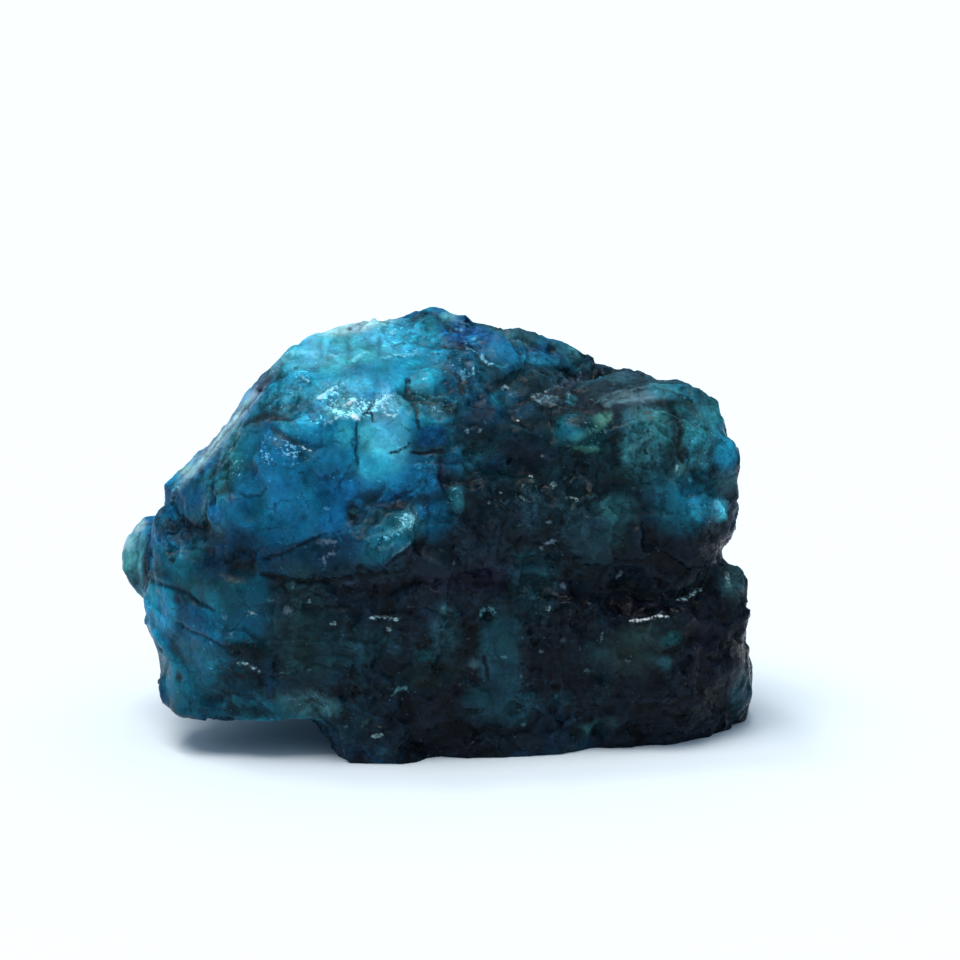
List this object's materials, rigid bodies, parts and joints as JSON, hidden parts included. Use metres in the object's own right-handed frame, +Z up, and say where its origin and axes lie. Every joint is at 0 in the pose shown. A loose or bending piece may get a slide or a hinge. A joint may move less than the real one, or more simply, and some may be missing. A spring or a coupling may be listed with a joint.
{
  "type": "rough aquamarine stone",
  "caption": "Rough, broken lump of blue-green beryl with a peaked crown, a shelf on one shoulder and an overhanging side, standing on a flat break.",
  "frame": {"origin": "centre of the bounding box in X and Y, on the surface that the stone stands on", "axes": "+X along the lump towards the shelf and the foot, away from the overhanging side; +Y towards the back; +Z up"},
  "size_m": [0.0426, 0.024, 0.0282],
  "materials": {
    "beryl": "rough broken stone, waxy and slightly translucent in its pale parts"
  },
  "bodies": {
    "root": {"aquamarine_rough": "beryl"}
  },
  "joints": []
}
